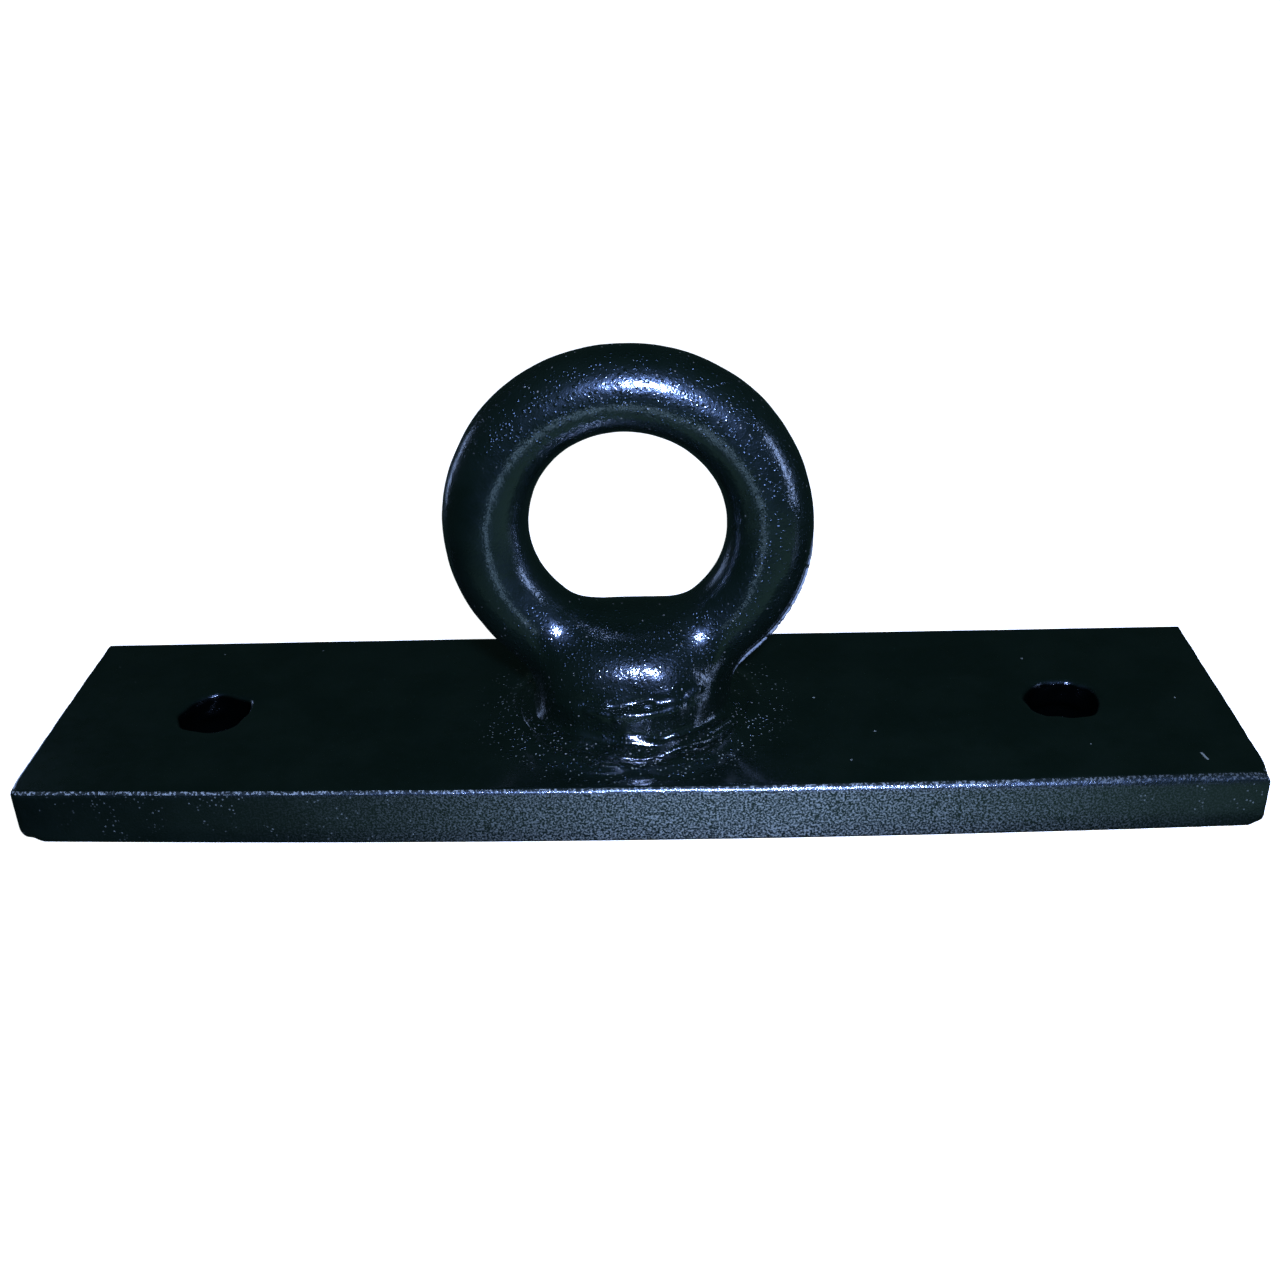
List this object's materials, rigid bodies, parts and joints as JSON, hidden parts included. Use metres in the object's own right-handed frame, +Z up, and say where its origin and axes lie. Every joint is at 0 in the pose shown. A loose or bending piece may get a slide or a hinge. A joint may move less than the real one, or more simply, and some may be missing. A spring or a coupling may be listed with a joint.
{
  "type": "pad eye",
  "caption": "Fixed pad eye: a forged round lifting eye welded upright on a flat steel bar with a bolt hole near each end, in black gloss paint.",
  "frame": {"origin": "centre of the bar's underside, which is the centre of the bounding box's bottom", "axes": "+X along the bar from bolt hole to bolt hole, +Y across the bar and through the eye, +Z up out of the bar to the eye"},
  "size_m": [0.25, 0.065, 0.0895],
  "materials": {
    "bar_paint": "thick black gloss paint with a fine orange peel, a little lighter and duller on the bar's edges",
    "eye_paint": "thick black gloss paint over a forged surface, orange peel and pebbling in the highlights",
    "weld_paint": "thick black gloss paint over weld runs"
  },
  "bodies": {
    "root": {"base_plate": "bar_paint", "lifting_eye": "eye_paint", "collar_weld_inner_run": "weld_paint", "collar_weld_outer_run": "weld_paint", "underside_plug_weld": "weld_paint"}
  },
  "joints": []
}
